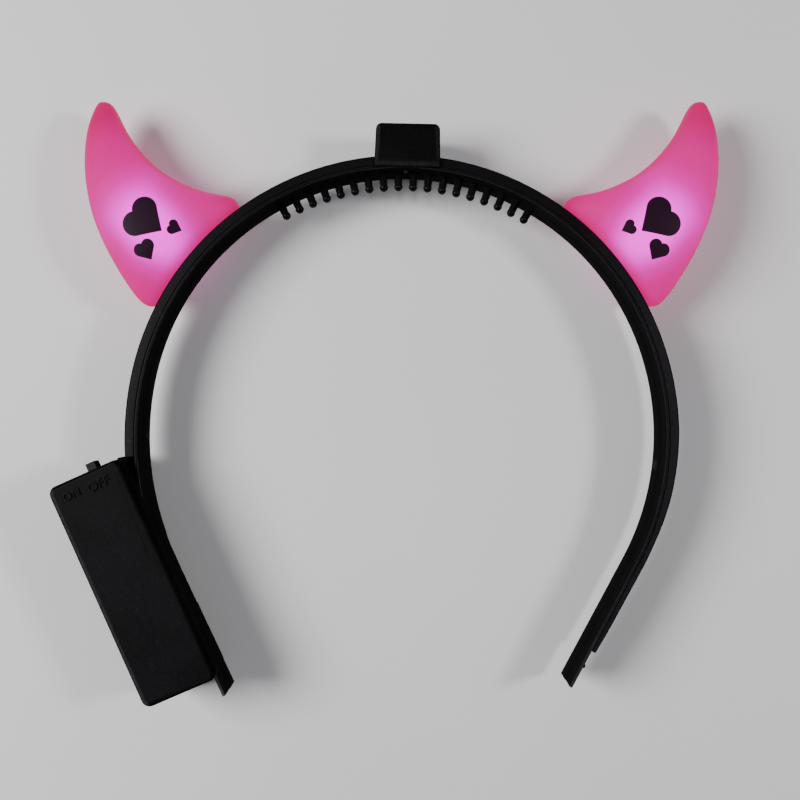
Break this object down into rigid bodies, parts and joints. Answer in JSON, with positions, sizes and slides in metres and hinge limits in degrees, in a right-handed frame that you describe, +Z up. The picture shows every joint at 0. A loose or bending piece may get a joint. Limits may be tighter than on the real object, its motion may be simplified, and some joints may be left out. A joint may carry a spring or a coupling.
{
  "type": "light-up devil horns headband",
  "caption": "Rigid plastic headband lying on its back, with hollow soft light-up devil horns, an inner comb, a small crown box and a battery box with a slide switch on the left leg.",
  "frame": {"origin": "on the surface the headband lies on, under the middle of its outline", "axes": "+X towards the right leg as the picture shows it, +Y towards the horns and the crown, +Z up, from the back of the headband to its front"},
  "size_m": [0.1814, 0.1642, 0.024],
  "materials": {
    "band_plastic": "satin black",
    "box_plastic": "fine spark-eroded black",
    "switch_plastic": "satin dark grey",
    "horn_rubber": "soft matte translucent pink",
    "lamp_plastic": "clear glossy"
  },
  "bodies": {
    "headband": {"inner_band": "band_plastic", "band_cover": "band_plastic", "crown_box": "box_plastic", "battery_box": "box_plastic", "battery_door": "box_plastic", "horn_left": "horn_rubber", "horn_right": "horn_rubber", "led_left": "lamp_plastic", "led_right": "lamp_plastic"},
    "switch": {"switch_knob": "switch_plastic"}
  },
  "joints": [
    {"name": "switch_slide", "type": "slide", "parent": "headband", "child": "switch", "axis": [-0.9128, -0.4083, 0], "range_m": [0, 0.0025]}
  ]
}
